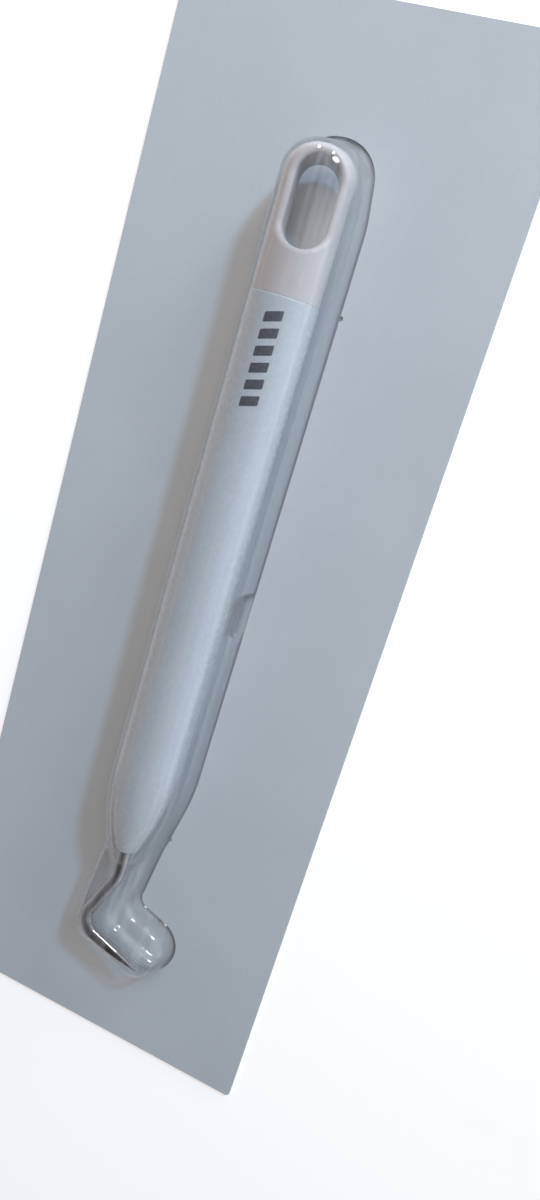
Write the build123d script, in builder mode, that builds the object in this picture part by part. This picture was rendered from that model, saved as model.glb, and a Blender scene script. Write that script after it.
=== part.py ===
from build123d import *
import math
import os

# Blister pack holding a hand weeding hook, modelled piece by piece in millimetres.
# The pack lies on its rear board: +Z comes out of the card towards the clear dome, +Y runs to the
# folded top edge of the card, and the origin is the bottom centre of the rear board's back face.

# ---------------------------------------------------------------- driving dimensions, card
card_width = 80.0
card_length = 230.0
board_thick = 0.4
corner_radius = 1.0
seal_margin = 0.5
window_gap = 0.1
nick_radius = 0.5
nick_places = ((10.95, 58.8), (8.25, -60.6))

# ---------------------------------------------------------------- driving dimensions, blister
film_thick = 0.25
flange_thick = 0.25
flange_width = 46.0
flange_length = 206.0
flange_radius = 6.0
flange_shift = (4.0, -1.0)
flange_gap = 0.4
wall_draft = 12.0
dome_radius = 7.7
head_end = 90.6
head_slope = 0.151
head_centre = 81.0
head_flat = 0.85
roof_straight_end = -44.0
roof_nose = (4.4, -62.2)
roof_nose_curve = 50.0
roof_tip = (3.2, -65.5)
plateau_top = 7.15
channel_top = 10.05
shoulder_radius = 2.0
dimple_centre = -4.5
dimple_half_length = 4.7
dimple_press = 0.05
dimple_depth = 6.0
dimple_radius = 0.8

# ---------------------------------------------------------------- driving dimensions, tool
tool_x = 1.2
tool_height = 8.05
barrel_radius = 7.0
barrel_top = 59.0
nose_start = -40.0
nose_end = -63.0
nose_curve = 62.0
nose_round = 1.0
joint_round = 0.35
bore_radius = 5.2
bore_bottom = -36.0
bush_radius = 3.4
bush_length = 14.0
bush_flange = 1.6
bush_flange_gap = 0.4
cap_turn = 16.0
cap_radius = 6.85
cap_top = 87.0
cap_round = 6.0
eye_width = 8.7
eye_length = 17.2
eye_centre = 76.2
eye_rim = 0.9
eye_draft = 0.7
spigot_length = 12.0
spigot_wall = 1.2
spigot_clearance = 0.05
wire_radius = 1.5
shank_top = -30.0
shank_bend = (0.0, -70.5)
shank_bend_radius = 9.0
elbow = Vector(-6.25, -85.55)
elbow_radius = 4.4
elbow_reach = 4.9
arm_direction = Vector(1, 0).rotate(Axis.Z, -17.1)
arm_length = 12.6
arm_middle_radius = 1.15
hook_tip_radius = 0.12

# ---------------------------------------------------------------- worked out from these
flange_base = board_thick
flange_top = flange_base + flange_thick
axis_rise = tool_height - flange_base
draft_cos = math.cos(math.radians(wall_draft))
draft_sin = math.sin(math.radians(wall_draft))
draft_tan = math.tan(math.radians(wall_draft))
bay_half = dome_radius * draft_cos + (dome_radius * draft_sin + axis_rise) * draft_tan
tool_seat = Location((tool_x, 0, tool_height))
cap_seat = Location((tool_x, 0, tool_height), (0, cap_turn, 0))

# ---------------------------------------------------------------- outlines of the dome's base
# Each corner is (x, y, fillet radius, slope) and each outline runs counter-clockwise. The slope is
# how far the corner slides towards -Y for each millimetre of rise, beyond the walls' own draft.
# Long bay over the barrel and the cap, with a rounded head and a narrowing nose.
bay_corners = (
    (tool_x + bay_half, 76.0, 30.0, 0.0),
    (tool_x + bay_half - 2.2, head_end, 8.0, head_slope),
    (tool_x - bay_half + 2.2, head_end, 8.0, head_slope),
    (tool_x - bay_half, 76.0, 30.0, 0.0),
    (tool_x - bay_half, -48.0, 45.0, 0.0),
    (tool_x - 6.1, -62.5, 8.0, 0.0),
    (tool_x - 4.6, -67.5, 3.0, 0.0),
    (tool_x + 4.6, -67.5, 3.0, 0.0),
    (tool_x + 6.6, -62.5, 8.0, 0.0),
    (tool_x + bay_half, -48.0, 45.0, 0.0),
)
# Foot over the bent hook: a neck that turns into a slanting round-ended lobe.
foot_corners = (
    (8.0, -60.0, 2.5, 0.0),
    (-5.2, -60.0, 2.5, 0.0),
    (-7.5, -79.5, 8.0, 0.0),
    (-7.9, -88.4, 6.5, 0.0),
    (14.8, -95.7, 6.4, 0.0),
    (18.9, -82.9, 6.4, 0.0),
    (5.4, -78.5, 2.6, 0.0),
)
# Part of the foot that stands higher, along the wire: down its shaft, then along its arm.
channel_corners = (
    (6.8, -55.0, 3.0, 0.0),
    (-16.0, -55.0, 3.0, 0.0),
    (-16.0, -104.0, 3.0, 0.0),
    (20.0, -104.0, 3.0, 0.0),
    (24.0, -87.1, 3.0, 0.0),
    (3.9, -80.5, 1.6, 0.0),
)


def leaned_outline(corners, lean, rise=0.0):
    """Closed outline of filleted corners, with every side moved inwards by lean."""
    points = [Vector(x, y - rise * slope) for x, y, radius, slope in corners]
    moved = []
    radii = []
    for index, point in enumerate(points):
        before = (point - points[index - 1]).normalized()
        after = (points[(index + 1) % len(points)] - point).normalized()
        inward = Vector(-before.Y - after.Y, before.X + after.X)
        moved.append(point + inward * (lean / (1 + before.dot(after))))
        convex = before.cross(after).Z > 0
        radius = corners[index][2]
        radii.append(max(radius - lean, 0.05) if convex else radius + lean)
    return FilletPolyline(*moved, radius=radii, close=True)


def drafted_prism(corners, inset, height, shoulder=0.0):
    """A plug that stands on an outline, leans in by the wall draft and may have a soft shoulder."""
    top = height - inset
    round_radius = max(shoulder - inset, 0.0)
    turns = (0, 30, 60, 90) if round_radius > 0 else (90,)
    sections = [(flange_base, 0.0)]
    for turn in turns:
        level = top - round_radius * (1 - math.sin(math.radians(turn)))
        sections.append((level, round_radius * (1 - math.cos(math.radians(turn)))))
    with BuildPart() as prism:
        for level, pulled_in in sections:
            rise = level - flange_base
            with BuildSketch(Plane.XY.offset(level)):
                with BuildLine():
                    leaned_outline(corners, inset / draft_cos + rise * draft_tan + pulled_in, rise)
                make_face()
        loft(ruled=True)
    return prism.part


def dome_roof(inset):
    """The round roof: a bar about the tool's axis, rounded at the head and slimmed at the nose."""
    radius = dome_radius - inset
    head_curve = dome_radius - head_flat - inset
    head_top = head_centre + head_curve
    tip_x = tool_x + roof_tip[0] - inset
    tip_y = roof_tip[1] + inset
    with BuildPart() as roof:
        with BuildSketch(Plane.XY.offset(tool_height)):
            with BuildLine():
                head = Line((tool_x, head_top), (tool_x + head_flat, head_top))
                shoulder = RadiusArc(head @ 1, (tool_x + radius, head_centre), head_curve)
                side = Line(shoulder @ 1, (tool_x + radius, roof_straight_end))
                nose_foot = (tool_x + roof_nose[0] - inset, roof_nose[1])
                nose = RadiusArc(side @ 1, nose_foot, roof_nose_curve)
                Polyline(nose @ 1, (tip_x, tip_y), (tool_x, tip_y), head @ 0)
            make_face()
        revolve(axis=Axis((tool_x, 0, tool_height), (0, 1, 0)), revolution_arc=360)
        split(bisect_by=Plane.XY.offset(flange_base), keep=Keep.TOP)
    return roof.part


def grip_dimple(side, inset):
    """Pocket pressed into a side wall so that it stands close to the barrel and holds it."""
    near = tool_x + side * (dome_radius - dimple_press - inset)
    far = near + side * dimple_depth
    half_length = dimple_half_length + inset
    with BuildPart() as dimple:
        with BuildSketch(Plane.XY.offset(flange_base)):
            with BuildLine():
                FilletPolyline(
                    (near, dimple_centre - half_length),
                    (near, dimple_centre + half_length),
                    (far, dimple_centre + half_length),
                    (far, dimple_centre - half_length),
                    radius=dimple_radius,
                    close=True,
                )
            make_face()
        extrude(amount=axis_rise + inset)
    return dimple.part


def dome_body(inset):
    """The whole dome as one solid, with every surface moved inwards by inset."""
    tangent_height = tool_height + dome_radius * draft_sin + inset - inset * draft_sin
    roof = dome_roof(inset)
    bay = drafted_prism(bay_corners, inset, tangent_height)
    foot = drafted_prism(foot_corners, inset, plateau_top, shoulder_radius)
    tall_foot = drafted_prism(foot_corners, inset, channel_top, shoulder_radius)
    channel_region = drafted_prism(channel_corners, inset, channel_top, shoulder_radius)
    dimples = [grip_dimple(side, inset) for side in (-1, 1)]
    with BuildPart() as dome:
        add(tall_foot)
        add(channel_region, mode=Mode.INTERSECT)
        add(roof)
        add(bay)
        add(foot)
        add(dimples, mode=Mode.SUBTRACT)
    return dome.part


# ---------------------------------------------------------------- the card and the blister
def make_rear_board():
    """Plain rear panel of the folded card; its top edge is the fold."""
    with BuildPart() as rear_board:
        with BuildSketch():
            Rectangle(card_width, card_length)
        extrude(amount=board_thick)
        bottom_corners = rear_board.edges().filter_by(Axis.Z).group_by(Axis.Y)[0]
        fillet(bottom_corners, radius=corner_radius)
    rear_board.part.label = "rear_board"
    return rear_board.part


def make_seal_layer():
    """Glue film between the two boards, all round the blister's flange."""
    with BuildPart() as seal_layer:
        with BuildSketch(Plane.XY.offset(flange_base)):
            Rectangle(card_width - 2 * seal_margin, card_length - 2 * seal_margin)
            with Locations(flange_shift):
                RectangleRounded(
                    flange_width + 2 * flange_gap,
                    flange_length + 2 * flange_gap,
                    flange_radius + flange_gap,
                    mode=Mode.SUBTRACT,
                )
        extrude(amount=flange_thick)
    seal_layer.part.label = "seal_layer"
    return seal_layer.part


def make_front_board():
    """Front panel with the die-cut window that the dome comes up through, and its two nicks."""
    with BuildPart() as front_board:
        with BuildSketch(Plane.XY.offset(flange_top)):
            Rectangle(card_width, card_length)
        extrude(amount=board_thick)
        bottom_corners = front_board.edges().filter_by(Axis.Z).group_by(Axis.Y)[0]
        fillet(bottom_corners, radius=corner_radius)
        with BuildSketch(Plane.XY.offset(flange_top)):
            for corners in (bay_corners, foot_corners):
                with BuildLine():
                    leaned_outline(corners, -window_gap)
                make_face()
            with Locations(*nick_places):
                Circle(nick_radius)
        extrude(amount=board_thick, mode=Mode.SUBTRACT)
    front_board.part.label = "front_board"
    return front_board.part


def make_blister():
    """Clear thermoformed shell: a flat flange that carries the hollow dome."""
    outer = dome_body(0.0)
    inner = dome_body(film_thick)
    with BuildPart() as blister:
        with BuildSketch(Plane.XY.offset(flange_base)):
            with Locations(flange_shift):
                RectangleRounded(flange_width, flange_length, flange_radius)
        extrude(amount=flange_thick)
        add(outer)
        add(inner, mode=Mode.SUBTRACT)
    blister.part.label = "blister"
    return blister.part


# ---------------------------------------------------------------- the tool, about its own axis
def make_barrel():
    """Hollow handle: straight for most of its length, then an ogive nose round the wire."""
    nose_rise = math.sqrt(nose_curve**2 - (nose_start - nose_end) ** 2)
    nose_radius = barrel_radius - nose_curve + nose_rise
    with BuildPart() as barrel:
        with BuildSketch():
            with BuildLine():
                side = Line((barrel_radius, barrel_top), (barrel_radius, nose_start))
                nose = TangentArc(side @ 1, (nose_radius, nose_end), tangent=(0, -1))
                Polyline(nose @ 1, (0, nose_end), (0, barrel_top), side @ 0)
            make_face()
        revolve(axis=Axis.Y, revolution_arc=360)
        front_rim = barrel.edges().group_by(Axis.Y)[0]
        fillet(front_rim, radius=nose_round)
        rear_rim = barrel.edges().filter_by(GeomType.CIRCLE).group_by(Axis.Y)[-1]
        fillet(rear_rim, radius=joint_round)
        with Locations(Plane((0, barrel_top, 0), z_dir=(0, 1, 0))):
            Hole(bore_radius, depth=barrel_top - bore_bottom)
        with Locations(Plane((0, bore_bottom, 0), z_dir=(0, 1, 0))):
            Hole(bush_radius, depth=bush_length)
            Hole(wire_radius, depth=bore_bottom - nose_end)
    barrel.part.label = "barrel"
    return barrel.part


def make_shank_bush():
    """Flanged bush pressed into the nose, which grips the wire's shank."""
    with BuildPart() as shank_bush:
        with BuildSketch(Plane((0, bore_bottom - bush_length, 0), z_dir=(0, 1, 0))):
            Circle(bush_radius)
        extrude(amount=bush_length)
        with BuildSketch(Plane((0, bore_bottom, 0), z_dir=(0, 1, 0))):
            Circle(bore_radius - bush_flange_gap)
        extrude(amount=bush_flange)
        with Locations(Plane((0, bore_bottom + bush_flange, 0), z_dir=(0, 1, 0))):
            Hole(wire_radius)
    shank_bush.part.label = "shank_bush"
    return shank_bush.part


def make_hook():
    """Bent steel wire: straight shank, a slight set to one side, a tight bend and a tapered arm."""
    arm_start = elbow + arm_direction * elbow_reach
    with BuildPart() as hook:
        with BuildLine() as wire_path:
            FilletPolyline(
                (0, shank_top),
                shank_bend,
                elbow,
                arm_start,
                radius=[shank_bend_radius, elbow_radius],
            )
        with BuildSketch(Plane((0, shank_top, 0), z_dir=(0, -1, 0))):
            Circle(wire_radius)
        sweep(path=wire_path.line)
        with BuildSketch(Plane(origin=arm_start, x_dir=arm_direction, z_dir=(0, 0, 1))):
            with BuildLine():
                Polyline(
                    (0, 0),
                    (arm_length, 0),
                    (arm_length, hook_tip_radius),
                    (arm_length / 2, arm_middle_radius),
                    (0, wire_radius),
                    close=True,
                )
            make_face()
        revolve(axis=Axis(arm_start, arm_direction), revolution_arc=360)
    hook.part.label = "hook"
    return hook.part


def is_eye_rim(edge):
    """True for the edges where the eye breaks out of the cap's front and back."""
    middle = edge.center()
    beside = abs(middle.X) < eye_width / 2 + 0.01
    within = abs(middle.Y - eye_centre) < eye_length / 2 + 0.01
    return beside and within and abs(middle.Z) > 1.0


def make_end_cap():
    """Rear cap with a rounded end, a soft-edged eye through it and a spigot for the barrel."""
    spigot_radius = bore_radius - spigot_clearance
    with BuildPart() as end_cap:
        with BuildSketch(Plane((0, barrel_top, 0), z_dir=(0, 1, 0))):
            Circle(cap_radius)
        extrude(amount=cap_top - barrel_top)
        end_rim = end_cap.edges().group_by(Axis.Y)[-1]
        fillet(end_rim, radius=cap_round)
        for level, narrowing in ((-cap_radius, 2 * eye_draft), (cap_radius, 0.0)):
            with BuildSketch(Plane.XY.offset(level)):
                with Locations((0, eye_centre)):
                    SlotOverall(eye_length - narrowing, eye_width - narrowing, rotation=90)
        loft(ruled=True, mode=Mode.SUBTRACT)
        rims = end_cap.edges().filter_by(is_eye_rim)
        fillet(rims, radius=eye_rim)
        with BuildSketch(Plane((0, barrel_top, 0), z_dir=(0, -1, 0))):
            Circle(spigot_radius)
            Circle(spigot_radius - spigot_wall, mode=Mode.SUBTRACT)
        extrude(amount=spigot_length)
    end_cap.part.label = "end_cap"
    return end_cap.part


# ---------------------------------------------------------------- write one file for each piece
def seat(piece, place):
    """Lay a tool piece in the dome."""
    seated = place * piece
    seated.label = piece.label
    return seated


pieces = [make_rear_board(), make_seal_layer(), make_front_board(), make_blister()]
pieces.append(seat(make_barrel(), tool_seat))
pieces.append(seat(make_shank_bush(), tool_seat))
pieces.append(seat(make_hook(), tool_seat))
pieces.append(seat(make_end_cap(), cap_seat))

os.makedirs("parts", exist_ok=True)
for piece in pieces:
    export_step(piece, f"parts/{piece.label}.step")
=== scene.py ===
import math

import bmesh
import bpy
from mathutils import Matrix, Vector


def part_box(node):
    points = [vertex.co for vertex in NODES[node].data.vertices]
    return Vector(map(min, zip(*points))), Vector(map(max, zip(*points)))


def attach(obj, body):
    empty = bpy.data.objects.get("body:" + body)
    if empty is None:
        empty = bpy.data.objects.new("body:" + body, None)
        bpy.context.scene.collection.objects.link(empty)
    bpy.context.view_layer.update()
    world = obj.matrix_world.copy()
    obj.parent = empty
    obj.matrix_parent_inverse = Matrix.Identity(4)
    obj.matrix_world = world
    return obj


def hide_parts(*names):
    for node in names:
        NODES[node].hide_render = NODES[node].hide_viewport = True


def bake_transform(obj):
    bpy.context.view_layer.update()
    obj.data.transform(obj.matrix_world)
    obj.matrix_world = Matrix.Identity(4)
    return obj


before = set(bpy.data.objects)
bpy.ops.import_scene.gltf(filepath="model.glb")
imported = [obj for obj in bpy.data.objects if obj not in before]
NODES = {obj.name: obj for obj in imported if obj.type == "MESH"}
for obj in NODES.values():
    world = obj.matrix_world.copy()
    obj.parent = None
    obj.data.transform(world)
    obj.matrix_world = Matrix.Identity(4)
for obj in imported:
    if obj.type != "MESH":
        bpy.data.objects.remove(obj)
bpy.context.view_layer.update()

MM = 0.001

# The tool's axis lies along +Y at this place, and the flange of the film between these levels.
TOOL_X = 1.2 * MM
TOOL_Z = 8.05 * MM
BARREL_RADIUS = 7.0 * MM
FLANGE_BASE = 0.4 * MM
FLANGE_TOP = 0.65 * MM
FILM_THICK = 0.25 * MM

FACE_PALE = (0.588, 0.633, 0.658, 1.0)
FACE_DARK = (0.563, 0.607, 0.632, 1.0)
FIBRE_DARK = (0.46, 0.49, 0.53, 1.0)
RAW_PALE = (0.74, 0.73, 0.70, 1.0)
RAW_DARK = (0.60, 0.58, 0.54, 1.0)
BARREL_PALE = (0.600, 0.652, 0.682, 1.0)
BARREL_DARK = (0.576, 0.628, 0.658, 1.0)
CAP_PALE = (0.640, 0.612, 0.605, 1.0)
CAP_DARK = (0.615, 0.585, 0.575, 1.0)
STEEL_PALE = (0.60, 0.58, 0.58, 1.0)
STEEL_DARK = (0.50, 0.47, 0.46, 1.0)
INK = (0.085, 0.09, 0.105, 1.0)
INK_WORN = (0.15, 0.155, 0.17, 1.0)
SEAL_PALE = (0.66, 0.65, 0.60, 1.0)
SEAL_DARK = (0.56, 0.55, 0.50, 1.0)
BUSH_PALE = (0.32, 0.33, 0.35, 1.0)
BUSH_DARK = (0.27, 0.28, 0.30, 1.0)
FILM_FACING = (0.996, 0.998, 1.0, 1.0)
FILM_EDGE = (0.56, 0.55, 0.57, 1.0)
# Painted shade: the film's darker colour in a line just above the flange.
FILM_BASE_SHADE = (0.58, 0.57, 0.60, 1.0)
FILM_GLOW = (0.80, 0.82, 0.84, 1.0)
FLOOR_PALE = (0.86, 0.87, 0.88, 1.0)
FLOOR_SOFT = (0.83, 0.84, 0.85, 1.0)
HORIZON_WARM = (0.36, 0.32, 0.31, 1.0)
HORIZON_COOL = (0.56, 0.59, 0.65, 1.0)
ZENITH = (0.03, 0.029, 0.032, 1.0)
WHITE = (1.0, 1.0, 1.0)

# How the film looks. The powers are of its Facing value, which is 1 where it turns away from the
# eye.
MIRROR_POWER = 5.0
MIRROR_LEAST = 0.05
TINT_POWER = 3.8
RIM_POWER = 9.0
RIM_SHARE = 0.70
RIM_STRENGTH = 0.55
# How dark the painted shade in the line at the film's base is.
BASE_SHADE_SHARE = 0.6
HAZE_SHARE = 0.09

# How the film is shaped.
VOXEL = 0.3 * MM
SMOOTHINGS = 14
KEPT_FACES = 0.7

FLOOR_HALF = 1.6
FLOOR_DEPTH = 0.02


# ---------------------------------------------------------------- helpers for node materials
def new_material(name):
    """An empty node material, its tree and its output node."""
    material = bpy.data.materials.new(name)
    material.use_nodes = True
    tree = material.node_tree
    tree.nodes.clear()
    return material, tree, tree.nodes.new("ShaderNodeOutputMaterial")


def add_node(tree, kind, **inputs):
    """A node with its sockets set by name, an underscore standing for a space."""
    node = tree.nodes.new(kind)
    for key, value in inputs.items():
        node.inputs[key.replace("_", " ")].default_value = value
    return node


def object_place(tree, scale=(1, 1, 1)):
    """Coordinates that stay on the piece when it moves, in metres times scale."""
    coordinates = tree.nodes.new("ShaderNodeTexCoord")
    mapping = tree.nodes.new("ShaderNodeMapping")
    mapping.inputs["Scale"].default_value = scale
    tree.links.new(coordinates.outputs["Object"], mapping.inputs["Vector"])
    return mapping.outputs["Vector"]


def noise(tree, vector, scale, detail=4.0, roughness=0.5):
    """Noise between 0 and 1 at the given coordinates."""
    node = add_node(tree, "ShaderNodeTexNoise", Scale=scale, Detail=detail, Roughness=roughness)
    tree.links.new(vector, node.inputs["Vector"])
    return node.outputs["Fac"]


def spread(tree, value, low, high, low_in=0.0, high_in=1.0):
    """Map a value from one range to another, clamped."""
    node = tree.nodes.new("ShaderNodeMapRange")
    node.inputs["From Min"].default_value = low_in
    node.inputs["From Max"].default_value = high_in
    node.inputs["To Min"].default_value = low
    node.inputs["To Max"].default_value = high
    tree.links.new(value, node.inputs["Value"])
    return node.outputs["Result"]


def mix_colours(tree, factor, first, second):
    """Mix two colours, each given as a tuple or as a socket."""
    node = tree.nodes.new("ShaderNodeMix")
    node.data_type = "RGBA"
    tree.links.new(factor, node.inputs[0])
    for socket, colour in ((node.inputs[6], first), (node.inputs[7], second)):
        if isinstance(colour, tuple):
            socket.default_value = colour
        else:
            tree.links.new(colour, socket)
    return node.outputs[2]


def calculate(tree, operation, *values):
    """One math operation on values that are each a number or a socket."""
    node = tree.nodes.new("ShaderNodeMath")
    node.operation = operation
    for socket, value in zip(node.inputs, values):
        if isinstance(value, (int, float)):
            socket.default_value = value
        else:
            tree.links.new(value, socket)
    return node.outputs[0]


def bump(tree, height, strength, distance, before=None):
    """A normal shaped by a height, on top of another normal if one is given."""
    node = add_node(tree, "ShaderNodeBump", Strength=strength, Distance=distance)
    tree.links.new(height, node.inputs["Height"])
    if before is not None:
        tree.links.new(before, node.inputs["Normal"])
    return node.outputs["Normal"]


def plastic(name, pale, dark, roughness, mottle_scale, grain_scale, grain_depth, **inputs):
    """Moulded plastic: slow colour variation, fine grain, and gloss that varies a little."""
    material, tree, output = new_material(name)
    shader = add_node(tree, "ShaderNodeBsdfPrincipled", **inputs)
    tree.links.new(shader.outputs["BSDF"], output.inputs["Surface"])
    mottle = noise(tree, object_place(tree), mottle_scale, 3.0)
    grain = noise(tree, object_place(tree), grain_scale, 3.0, 0.6)
    tone = spread(tree, mottle, 0.0, 1.0, 0.3, 0.7)
    tree.links.new(mix_colours(tree, tone, dark, pale), shader.inputs["Base Color"])
    tree.links.new(
        spread(tree, grain, roughness - 0.04, roughness + 0.06), shader.inputs["Roughness"]
    )
    tree.links.new(bump(tree, grain, 0.25, grain_depth), shader.inputs["Normal"])
    return material


# ---------------------------------------------------------------- materials
def board_material():
    """Smooth coated paperboard, pale blue-grey, with fine fibre, soft mottling and a raw edge."""
    material, tree, output = new_material("coated_board")
    shader = add_node(tree, "ShaderNodeBsdfPrincipled", Specular_IOR_Level=0.35)
    tree.links.new(shader.outputs["BSDF"], output.inputs["Surface"])
    mottle = noise(tree, object_place(tree), 34.0, 3.0, 0.55)
    fibre = noise(tree, object_place(tree, (1.0, 0.35, 1.0)), 2600.0, 3.0, 0.6)
    grain = noise(tree, object_place(tree), 5200.0, 2.0)
    tone = spread(tree, mottle, 0.0, 1.0, 0.35, 0.65)
    face = mix_colours(tree, tone, FACE_DARK, FACE_PALE)
    flecked = mix_colours(tree, spread(tree, fibre, 0.0, 0.22, 0.5, 0.8), face, FIBRE_DARK)
    raw = mix_colours(tree, spread(tree, fibre, 0.0, 1.0, 0.3, 0.7), RAW_DARK, RAW_PALE)
    coordinates = tree.nodes.new("ShaderNodeTexCoord")
    axes = tree.nodes.new("ShaderNodeSeparateXYZ")
    tree.links.new(coordinates.outputs["Normal"], axes.inputs[0])
    flatness = calculate(tree, "ABSOLUTE", axes.outputs["Z"])
    is_face = spread(tree, flatness, 0.0, 1.0, 0.4, 0.8)
    tree.links.new(mix_colours(tree, is_face, raw, flecked), shader.inputs["Base Color"])
    tree.links.new(spread(tree, grain, 0.46, 0.62), shader.inputs["Roughness"])
    fine = bump(tree, grain, 0.12, 0.00004)
    tree.links.new(bump(tree, fibre, 0.12, 0.00005, fine), shader.inputs["Normal"])
    return material


def steel_material():
    """Polished wire with faint drawing lines and a slightly warm tone."""
    material, tree, output = new_material("polished_steel")
    shader = add_node(tree, "ShaderNodeBsdfPrincipled", Metallic=1.0)
    tree.links.new(shader.outputs["BSDF"], output.inputs["Surface"])
    lines = noise(tree, object_place(tree, (1.0, 0.06, 1.0)), 5200.0, 3.0, 0.6)
    tone = noise(tree, object_place(tree), 420.0, 3.0)
    level = spread(tree, tone, 0.0, 1.0, 0.35, 0.65)
    tree.links.new(mix_colours(tree, level, STEEL_DARK, STEEL_PALE), shader.inputs["Base Color"])
    tree.links.new(spread(tree, lines, 0.05, 0.12), shader.inputs["Roughness"])
    tree.links.new(bump(tree, lines, 0.15, 0.00001), shader.inputs["Normal"])
    return material


def film_material():
    """Clear film, seen through where it faces the eye.

    It is darker and more mirror-like where it turns away, and a painted shade darkens it in a line
    just above the flange, where its base is shaded in the crease against the card. Its raised rim
    gives off a faint light of its own, which the real film doesn't, and a lengthwise haze lies over
    it in streaks.
    """
    material, tree, output = new_material("clear_film")
    facing = add_node(tree, "ShaderNodeLayerWeight", Blend=0.5)
    waves = noise(tree, object_place(tree, (1.0, 0.5, 1.0)), 240.0, 2.0)
    ripple = bump(tree, waves, 0.30, 0.00008)
    tree.links.new(ripple, facing.inputs["Normal"])
    grazing = calculate(tree, "POWER", facing.outputs["Facing"], MIRROR_POWER)
    mirror_share = calculate(tree, "MULTIPLY_ADD", grazing, 1 - MIRROR_LEAST, MIRROR_LEAST)
    edge_share = calculate(tree, "POWER", facing.outputs["Facing"], TINT_POWER)
    coordinates = tree.nodes.new("ShaderNodeTexCoord")
    axes = tree.nodes.new("ShaderNodeSeparateXYZ")
    tree.links.new(coordinates.outputs["Object"], axes.inputs[0])
    # Painted shade: the see-through colour darkens in a band from 0.7 to 1.6 mm up, just above the
    # flange, standing in for the shade in the crease where the film meets the card.
    rise = spread(tree, axes.outputs["Z"], 0.0, 1.0, 0.7 * MM, 1.0 * MM)
    fall = spread(tree, axes.outputs["Z"], BASE_SHADE_SHARE, 0.0, 1.1 * MM, 1.6 * MM)
    base_shade_share = calculate(tree, "MULTIPLY", rise, fall)
    turned = mix_colours(tree, edge_share, FILM_FACING, FILM_EDGE)
    tint = mix_colours(tree, base_shade_share, turned, FILM_BASE_SHADE)
    clear = tree.nodes.new("ShaderNodeBsdfTransparent")
    tree.links.new(tint, clear.inputs["Color"])
    mirror = add_node(tree, "ShaderNodeBsdfGlossy", Color=(*WHITE, 1.0))
    tree.links.new(spread(tree, waves, 0.03, 0.09), mirror.inputs["Roughness"])
    tree.links.new(ripple, mirror.inputs["Normal"])
    mixed = tree.nodes.new("ShaderNodeMixShader")
    tree.links.new(mirror_share, mixed.inputs[0])
    tree.links.new(clear.outputs[0], mixed.inputs[1])
    tree.links.new(mirror.outputs[0], mixed.inputs[2])
    limb = calculate(tree, "POWER", facing.outputs["Facing"], RIM_POWER)
    raised = spread(tree, axes.outputs["Z"], 0.0, RIM_SHARE, 3.0 * MM, 6.0 * MM)
    limb_share = calculate(tree, "MULTIPLY", limb, raised)
    glow = add_node(tree, "ShaderNodeEmission", Color=FILM_GLOW, Strength=RIM_STRENGTH)
    edged = tree.nodes.new("ShaderNodeMixShader")
    tree.links.new(limb_share, edged.inputs[0])
    tree.links.new(mixed.outputs[0], edged.inputs[1])
    tree.links.new(glow.outputs[0], edged.inputs[2])
    streaks = noise(tree, object_place(tree, (1.0, 0.02, 1.0)), 330.0, 2.0)
    haze = add_node(tree, "ShaderNodeBsdfDiffuse", Color=FILM_GLOW)
    hazed = tree.nodes.new("ShaderNodeMixShader")
    tree.links.new(spread(tree, streaks, 0.0, HAZE_SHARE, 0.44, 0.60), hazed.inputs[0])
    tree.links.new(edged.outputs[0], hazed.inputs[1])
    tree.links.new(haze.outputs[0], hazed.inputs[2])
    tree.links.new(hazed.outputs[0], output.inputs["Surface"])
    return material


def floor_material():
    """Plain pale studio floor with a faint unevenness and a little light of its own."""
    material, tree, output = new_material("studio_floor")
    shader = add_node(
        tree, "ShaderNodeBsdfPrincipled", Roughness=0.8, Specular_IOR_Level=0.2,
        Emission_Color=(*WHITE, 1.0), Emission_Strength=0.45,
    )
    tree.links.new(shader.outputs["BSDF"], output.inputs["Surface"])
    slow = noise(tree, object_place(tree), 6.0, 2.0)
    tone = mix_colours(tree, slow, FLOOR_SOFT, FLOOR_PALE)
    tree.links.new(tone, shader.inputs["Base Color"])
    return material


board = board_material()
steel = steel_material()
film = film_material()
barrel_plastic = plastic(
    "barrel_plastic", BARREL_PALE, BARREL_DARK,
    roughness=0.26, mottle_scale=60.0, grain_scale=900.0, grain_depth=0.00001,
    Coat_Weight=0.25, Coat_Roughness=0.12,
)
cap_plastic = plastic(
    "cap_plastic", CAP_PALE, CAP_DARK,
    roughness=0.42, mottle_scale=90.0, grain_scale=3200.0, grain_depth=0.00003,
)
bush_plastic = plastic(
    "bush_plastic", BUSH_PALE, BUSH_DARK,
    roughness=0.55, mottle_scale=300.0, grain_scale=3000.0, grain_depth=0.00003,
)
seal_film = plastic(
    "seal_film", SEAL_PALE, SEAL_DARK,
    roughness=0.5, mottle_scale=120.0, grain_scale=2500.0, grain_depth=0.00004,
)
ink = plastic(
    "printed_ink", INK_WORN, INK,
    roughness=0.4, mottle_scale=2200.0, grain_scale=5000.0, grain_depth=0.00001,
)

NODE_MATERIALS = {
    "rear_board": board,
    "front_board": board,
    "seal_layer": seal_film,
    "barrel": barrel_plastic,
    "end_cap": cap_plastic,
    "shank_bush": bush_plastic,
    "hook": steel,
    "blister": film,
}
for name, material in NODE_MATERIALS.items():
    mesh = NODES[name].data
    mesh.materials.clear()
    mesh.materials.append(material)


# ---------------------------------------------------------------- pieces made here
def link_piece(name, mesh, material):
    """Put a mesh with one material into the scene as a named piece."""
    piece = bpy.data.objects.new(name, mesh)
    mesh.materials.clear()
    mesh.materials.append(material)
    bpy.context.scene.collection.objects.link(piece)
    return piece


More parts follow.
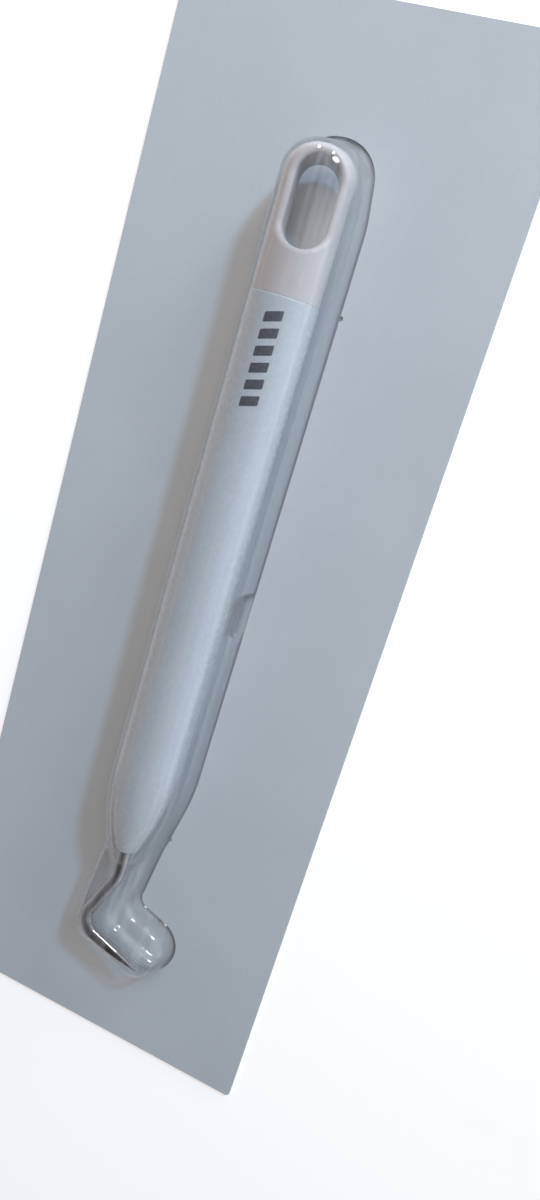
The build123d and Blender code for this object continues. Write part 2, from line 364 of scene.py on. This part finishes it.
def apply_modifiers(piece):
    """Turn the piece's modified shape into its own mesh."""
    graph = bpy.context.evaluated_depsgraph_get()
    shaped = bpy.data.meshes.new_from_object(piece.evaluated_get(graph))
    piece.modifiers.clear()
    old = piece.data
    piece.data = shaped
    bpy.data.meshes.remove(old)


def shade_smooth(mesh):
    mesh.polygons.foreach_set("use_smooth", [True] * len(mesh.polygons))


def add_box(shape, low, high):
    """Add a closed box to a bmesh."""
    size = Vector(high) - Vector(low)
    middle = (Vector(high) + Vector(low)) / 2
    placed = Matrix.Translation(middle) @ Matrix.Diagonal((*size, 1.0))
    bmesh.ops.create_cube(shape, size=1.0, matrix=placed)


def formed_film():
    """The blister as one drawn sheet.

    A plate closes the blister's open back, so that evening it out leaves one filled body with the
    blister's outer shape. Its creases are softened and its underside is cut away, and the sheet
    that stays is given the film's thickness.
    """
    shape = bmesh.new()
    shape.from_mesh(NODES["blister"].data)
    low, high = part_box("blister")
    plug_low = (low.x + 8 * MM, low.y + 4 * MM, FLANGE_BASE - 0.4 * MM)
    plug_high = (high.x - 5 * MM, high.y - 6 * MM, FLANGE_TOP - 0.05 * MM)
    add_box(shape, plug_low, plug_high)
    bmesh.ops.remove_doubles(shape, verts=shape.verts, dist=1e-7)
    mesh = bpy.data.meshes.new("blister_film")
    shape.to_mesh(mesh)
    shape.free()
    piece = link_piece("blister_film", mesh, film)
    remesh = piece.modifiers.new("even_out", "REMESH")
    remesh.mode = "VOXEL"
    remesh.voxel_size = VOXEL
    apply_modifiers(piece)
    shape = bmesh.new()
    shape.from_mesh(piece.data)
    for _ in range(SMOOTHINGS):
        raised = [v for v in shape.verts if v.co.z > FLANGE_TOP - 0.1 * MM]
        bmesh.ops.smooth_vert(
            shape, verts=raised, factor=0.5, use_axis_x=True, use_axis_y=True, use_axis_z=True
        )
    under = [f for f in shape.faces if f.calc_center_median().z < FLANGE_TOP - 0.12 * MM]
    bmesh.ops.delete(shape, geom=under, context="FACES")
    shape.to_mesh(piece.data)
    shape.free()
    thinned = piece.modifiers.new("thin_out", "DECIMATE")
    thinned.ratio = KEPT_FACES
    apply_modifiers(piece)
    thick = piece.modifiers.new("thickness", "SOLIDIFY")
    thick.thickness = FILM_THICK
    thick.offset = -1.0
    apply_modifiers(piece)
    shade_smooth(piece.data)
    return piece


def printed_mark():
    """A row of plain slanted dashes round the barrel's front, where the real one has its mark."""
    along_start = 37.5 * MM
    dash = 1.9 * MM
    pitch = 3.2 * MM
    slant = 1.0 * MM
    half_arc = 1.75 * MM / BARREL_RADIUS
    turn = math.radians(10.0)
    outside = BARREL_RADIUS + 0.012 * MM
    steps = 8
    shape = bmesh.new()
    for number in range(6):
        start = along_start + number * pitch
        rows = []
        for step in range(steps + 1):
            share = step / steps
            angle = turn + (2 * share - 1) * half_arc
            x = TOOL_X + outside * math.sin(angle)
            z = TOOL_Z + outside * math.cos(angle)
            y = start + slant * share
            rows.append([shape.verts.new((x, y, z)), shape.verts.new((x, y + dash, z))])
        for near, far in zip(rows, rows[1:]):
            shape.faces.new((near[0], far[0], far[1], near[1]))
    bmesh.ops.recalc_face_normals(shape, faces=shape.faces)
    for face in shape.faces:
        if face.normal.z < 0:
            face.normal_flip()
    mesh = bpy.data.meshes.new("barrel_mark")
    shape.to_mesh(mesh)
    shape.free()
    piece = link_piece("barrel_mark", mesh, ink)
    rounded = piece.modifiers.new("corners", "BEVEL")
    rounded.affect = "VERTICES"
    rounded.width = 0.35 * MM
    rounded.segments = 3
    thick = piece.modifiers.new("thickness", "SOLIDIFY")
    thick.thickness = 0.010 * MM
    thick.offset = -1.0
    apply_modifiers(piece)
    return piece


def board_fold():
    """The creased strip of board that joins the two panels at the card's top edge."""
    low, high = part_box("front_board")
    inner = high.y - 0.45 * MM
    levels = 4
    columns = 60
    shape = bmesh.new()
    rings = []
    for column in range(columns + 1):
        x = low.x + (high.x - low.x) * column / columns
        ring = []
        for level in range(levels + 1):
            z = FLANGE_BASE + (FLANGE_TOP - FLANGE_BASE) * level / levels
            ring.append(shape.verts.new((x, high.y, z)))
        for level in range(levels, -1, -1):
            z = FLANGE_BASE + (FLANGE_TOP - FLANGE_BASE) * level / levels
            ring.append(shape.verts.new((x, inner, z)))
        rings.append(ring)
    for first, second in zip(rings, rings[1:]):
        for index in range(len(first)):
            following = (index + 1) % len(first)
            shape.faces.new((first[index], second[index], second[following], first[following]))
    shape.faces.new(rings[0])
    shape.faces.new(reversed(rings[-1]))
    bmesh.ops.recalc_face_normals(shape, faces=shape.faces)
    mesh = bpy.data.meshes.new("board_fold")
    shape.to_mesh(mesh)
    shape.free()
    return link_piece("board_fold", mesh, board)


sheet = formed_film()
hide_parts("blister")
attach(sheet, "front_panel")

mark = printed_mark()
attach(mark, "tool")

fold = board_fold()
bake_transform(fold)


# ---------------------------------------------------------------- stage, light and camera
def studio_floor():
    """One wide slab that the card lies on."""
    shape = bmesh.new()
    add_box(shape, (-FLOOR_HALF, -FLOOR_HALF, -FLOOR_DEPTH), (FLOOR_HALF, FLOOR_HALF, 0.0))
    mesh = bpy.data.meshes.new("floor")
    shape.to_mesh(mesh)
    shape.free()
    return link_piece("floor", mesh, floor_material())


def soft_light(name, place, aim, size, power, colour):
    """A round lamp that the camera doesn't see directly."""
    data = bpy.data.lights.new(name, "AREA")
    data.shape = "DISK"
    data.size = size
    data.energy = power
    data.color = colour
    light = bpy.data.objects.new(name, data)
    light.location = place
    light.visible_camera = False
    direction = Vector(aim) - Vector(place)
    light.rotation_euler = direction.to_track_quat("-Z", "Y").to_euler()
    bpy.context.scene.collection.objects.link(light)
    return light


def studio_world():
    """Surroundings brightest round the horizon, cool on the window's side and warm on the other."""
    world = bpy.data.worlds.new("surroundings")
    world.use_nodes = True
    tree = world.node_tree
    tree.nodes.clear()
    output = tree.nodes.new("ShaderNodeOutputWorld")
    background = add_node(tree, "ShaderNodeBackground", Strength=1.0)
    coordinates = tree.nodes.new("ShaderNodeTexCoord")
    axes = tree.nodes.new("ShaderNodeSeparateXYZ")
    tree.links.new(coordinates.outputs["Generated"], axes.inputs[0])
    towards = spread(tree, axes.outputs["X"], 0.0, 1.0, -0.5, 0.5)
    horizon = mix_colours(tree, towards, HORIZON_WARM, HORIZON_COOL)
    height = spread(tree, axes.outputs["Z"], 0.0, 1.0, 0.25, 0.85)
    sky = mix_colours(tree, height, horizon, ZENITH)
    tree.links.new(sky, background.inputs["Color"])
    tree.links.new(background.outputs[0], output.inputs["Surface"])
    bpy.context.scene.world = world


studio_floor()
studio_world()

# A cool key and a warm overhead lamp light the card and stay out of reflections.
MIDDLE = (0.0, 0.0, 0.0)
HEAD = (0.0, 0.09, 0.0)
key = soft_light(
    "key", place=(0.48, 0.75, 0.565), aim=MIDDLE, size=0.09, power=4.6, colour=(0.42, 0.70, 1.0)
)
key.visible_glossy = False
# The window makes the hook's bright streak, and the two low lamps make glints at the head.
soft_light(
    "window", place=(0.28, 0.532, 0.155), aim=MIDDLE, size=0.16, power=0.85, colour=WHITE
)
soft_light(
    "far_lamp", place=(0.15, 0.670, 0.060), aim=HEAD, size=0.05, power=0.20, colour=WHITE
)
soft_light(
    "left_lamp", place=(-0.16, 0.650, 0.060), aim=HEAD, size=0.05, power=0.20, colour=WHITE
)
overhead = soft_light(
    "overhead", place=(0.08, 0.28, 0.52), aim=MIDDLE, size=0.4, power=1.60,
    colour=(1.0, 0.885, 0.82),
)
overhead.visible_glossy = False
bpy.context.scene.view_settings.view_transform = "Standard"

# The camera stands close above the card's right side and looks down along the tool.
camera_place = Vector((0.06224, 0.04598, 0.17857))
camera_target = Vector((0.01384, 0.00034, 0.0))
camera_up = Vector((-0.345213, 0.927490, -0.143496))
lens = bpy.data.cameras.new("camera")
lens.lens = 27.0
lens.sensor_width = 36.0
lens.sensor_fit = "AUTO"
lens.clip_start = 0.01
lens.clip_end = 10.0
camera = bpy.data.objects.new("camera", lens)
backward = (camera_place - camera_target).normalized()
right = camera_up.cross(backward).normalized()
upward = backward.cross(right)
turned = Matrix((right, upward, backward)).transposed().to_4x4()
camera.matrix_world = Matrix.Translation(camera_place) @ turned
bpy.context.scene.collection.objects.link(camera)
bpy.context.scene.camera = camera
